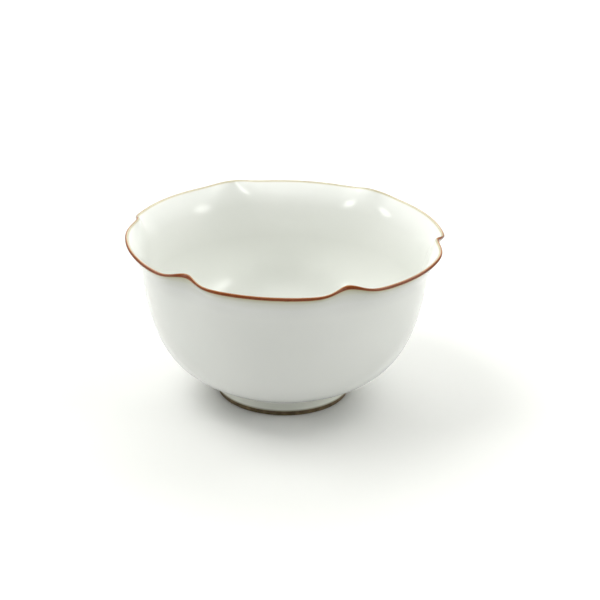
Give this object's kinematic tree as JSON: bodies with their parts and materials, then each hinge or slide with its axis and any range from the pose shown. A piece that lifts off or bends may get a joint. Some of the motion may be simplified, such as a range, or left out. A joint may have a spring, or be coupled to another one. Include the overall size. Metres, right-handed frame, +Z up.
{
  "type": "teacup",
  "caption": "Small handleless porcelain tea cup with a lobed flared rim, iron-brown lip, round belly and low foot ring",
  "frame": {"origin": "centre of the resting face, under the foot ring", "axes": "+Z up along the axis of the cup; +X and -X through two opposite notches of the rim"},
  "size_m": [0.0844, 0.086, 0.047],
  "materials": {
    "porcelain": "fired white porcelain, covered by the glaze",
    "bare_foot": "unglazed clay dressed with iron oxide, dry and dark olive brown",
    "outer_glaze": "smooth satin-gloss glaze, cool greenish white",
    "inner_glaze": "smooth gloss glaze, pale greenish white",
    "foot_glaze": "thick pooled glaze, slightly greener",
    "iron_rim": "iron oxide under thin gloss glaze, red-brown, lighter on the crest"
  },
  "bodies": {
    "root": {"porcelain_body": "porcelain", "foot_ring": "porcelain", "foot_edge": "bare_foot", "outer_glaze": "outer_glaze", "inner_glaze": "inner_glaze", "foot_glaze": "foot_glaze", "rim_band": "iron_rim"}
  },
  "joints": []
}
